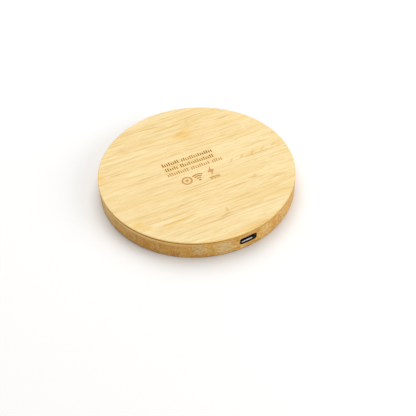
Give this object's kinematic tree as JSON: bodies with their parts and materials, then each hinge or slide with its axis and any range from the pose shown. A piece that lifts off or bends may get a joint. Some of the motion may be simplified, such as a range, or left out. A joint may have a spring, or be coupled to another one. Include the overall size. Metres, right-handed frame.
{
  "type": "wireless charging pad",
  "caption": "Flat round bamboo wireless charging pad with a glued base cover, engraved marks and a USB-C port in its side wall.",
  "frame": {"origin": "centre of the charging face, which is the lower face of the stored part", "axes": "+Z from the charging face to the marked base face, so the part is stored marked face up; -Y out of the USB-C port; +X to the right of the port as one looks into it"},
  "size_m": [0.1, 0.1, 0.0105],
  "materials": {
    "bamboo_body": "sanded, oiled side grain, golden brown",
    "bamboo_cover": "sanded pale bamboo with scorched engraved marks",
    "adhesive_film": "thin brown adhesive film",
    "nickel_shell": "nickel-plated, satin",
    "black_moulding": "moulded, fine grained",
    "plate_steel": "stamped, satin",
    "gold_contacts": "gold-plated",
    "board_laminate": "green solder mask",
    "package_black": "moulded epoxy",
    "choke_grey": "pressed powder, matt",
    "ceramic_tan": "fired ceramic with tinned ends",
    "ceramic_pale": "fired ceramic with tinned ends",
    "resistor_black": "glazed film on ceramic",
    "sensor_green": "glazed ceramic",
    "solder": "bright solder",
    "litz_copper": "enamelled copper litz",
    "tape_cream": "thin double-sided tape",
    "ferrite": "sintered, matt dark grey",
    "screw_steel": "zinc-plated"
  },
  "bodies": {
    "root": {"body": "bamboo_body", "cover": "bamboo_cover", "cover_adhesive": "adhesive_film", "usb_shell": "nickel_shell", "usb_insulator": "black_moulding", "usb_mid_plate": "plate_steel", "usb_contacts": "gold_contacts", "circuit_board": "board_laminate", "controller_ic": "package_black", "bridge_mosfets": "package_black", "regulator": "package_black", "filter_inductor": "choke_grey", "input_capacitors": "ceramic_tan", "resonant_capacitors": "ceramic_pale", "chip_capacitors": "ceramic_tan", "chip_resistors": "resistor_black", "sense_resistor": "resistor_black", "thermistor": "sensor_green", "solder_joints": "solder", "coil": "litz_copper", "coil_tape": "tape_cream", "coil_bond": "tape_cream", "ferrite_sheet": "ferrite", "ferrite_tape": "tape_cream", "board_screws": "screw_steel"}
  },
  "joints": []
}
